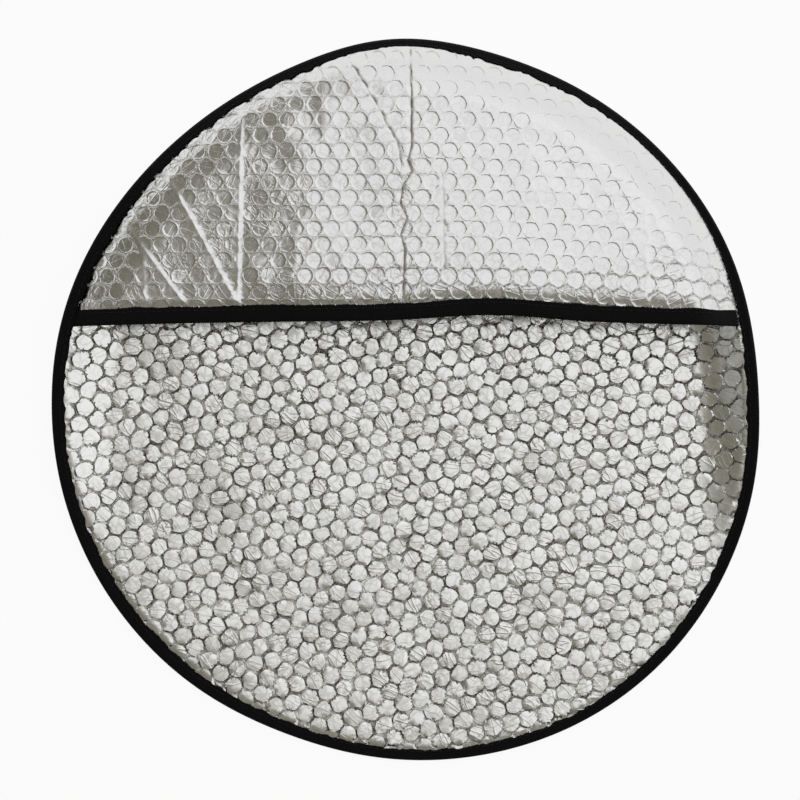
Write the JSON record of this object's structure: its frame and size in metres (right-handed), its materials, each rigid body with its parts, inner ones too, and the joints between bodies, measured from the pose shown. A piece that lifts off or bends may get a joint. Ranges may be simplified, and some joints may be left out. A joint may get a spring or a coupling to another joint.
{
  "type": "steering wheel sunshade",
  "caption": "Round bubble-foil sunshade with a half-moon pocket that slips over the top of a steering wheel, bound all round in black woven tape.",
  "frame": {"origin": "middle of the round's bounding box, on the surface that the shade lies on", "axes": "+Z from the mat to the pocket, towards the driver; +Y to the top of the steering wheel; +X to the driver's right"},
  "size_m": [0.3961, 0.4049, 0.047],
  "materials": {
    "mat_foil": "metallised film over small bubbles, crinkled, bright and slightly diffuse",
    "pocket_foil": "metallised film with round bubble marks and a few long creases, bright and slightly diffuse",
    "woven_tape": "matte black woven polyester tape, sewn"
  },
  "bodies": {
    "root": {"foil_mat": "mat_foil", "foil_pocket": "pocket_foil", "rim_tape": "woven_tape", "mouth_tape": "woven_tape"}
  },
  "joints": []
}
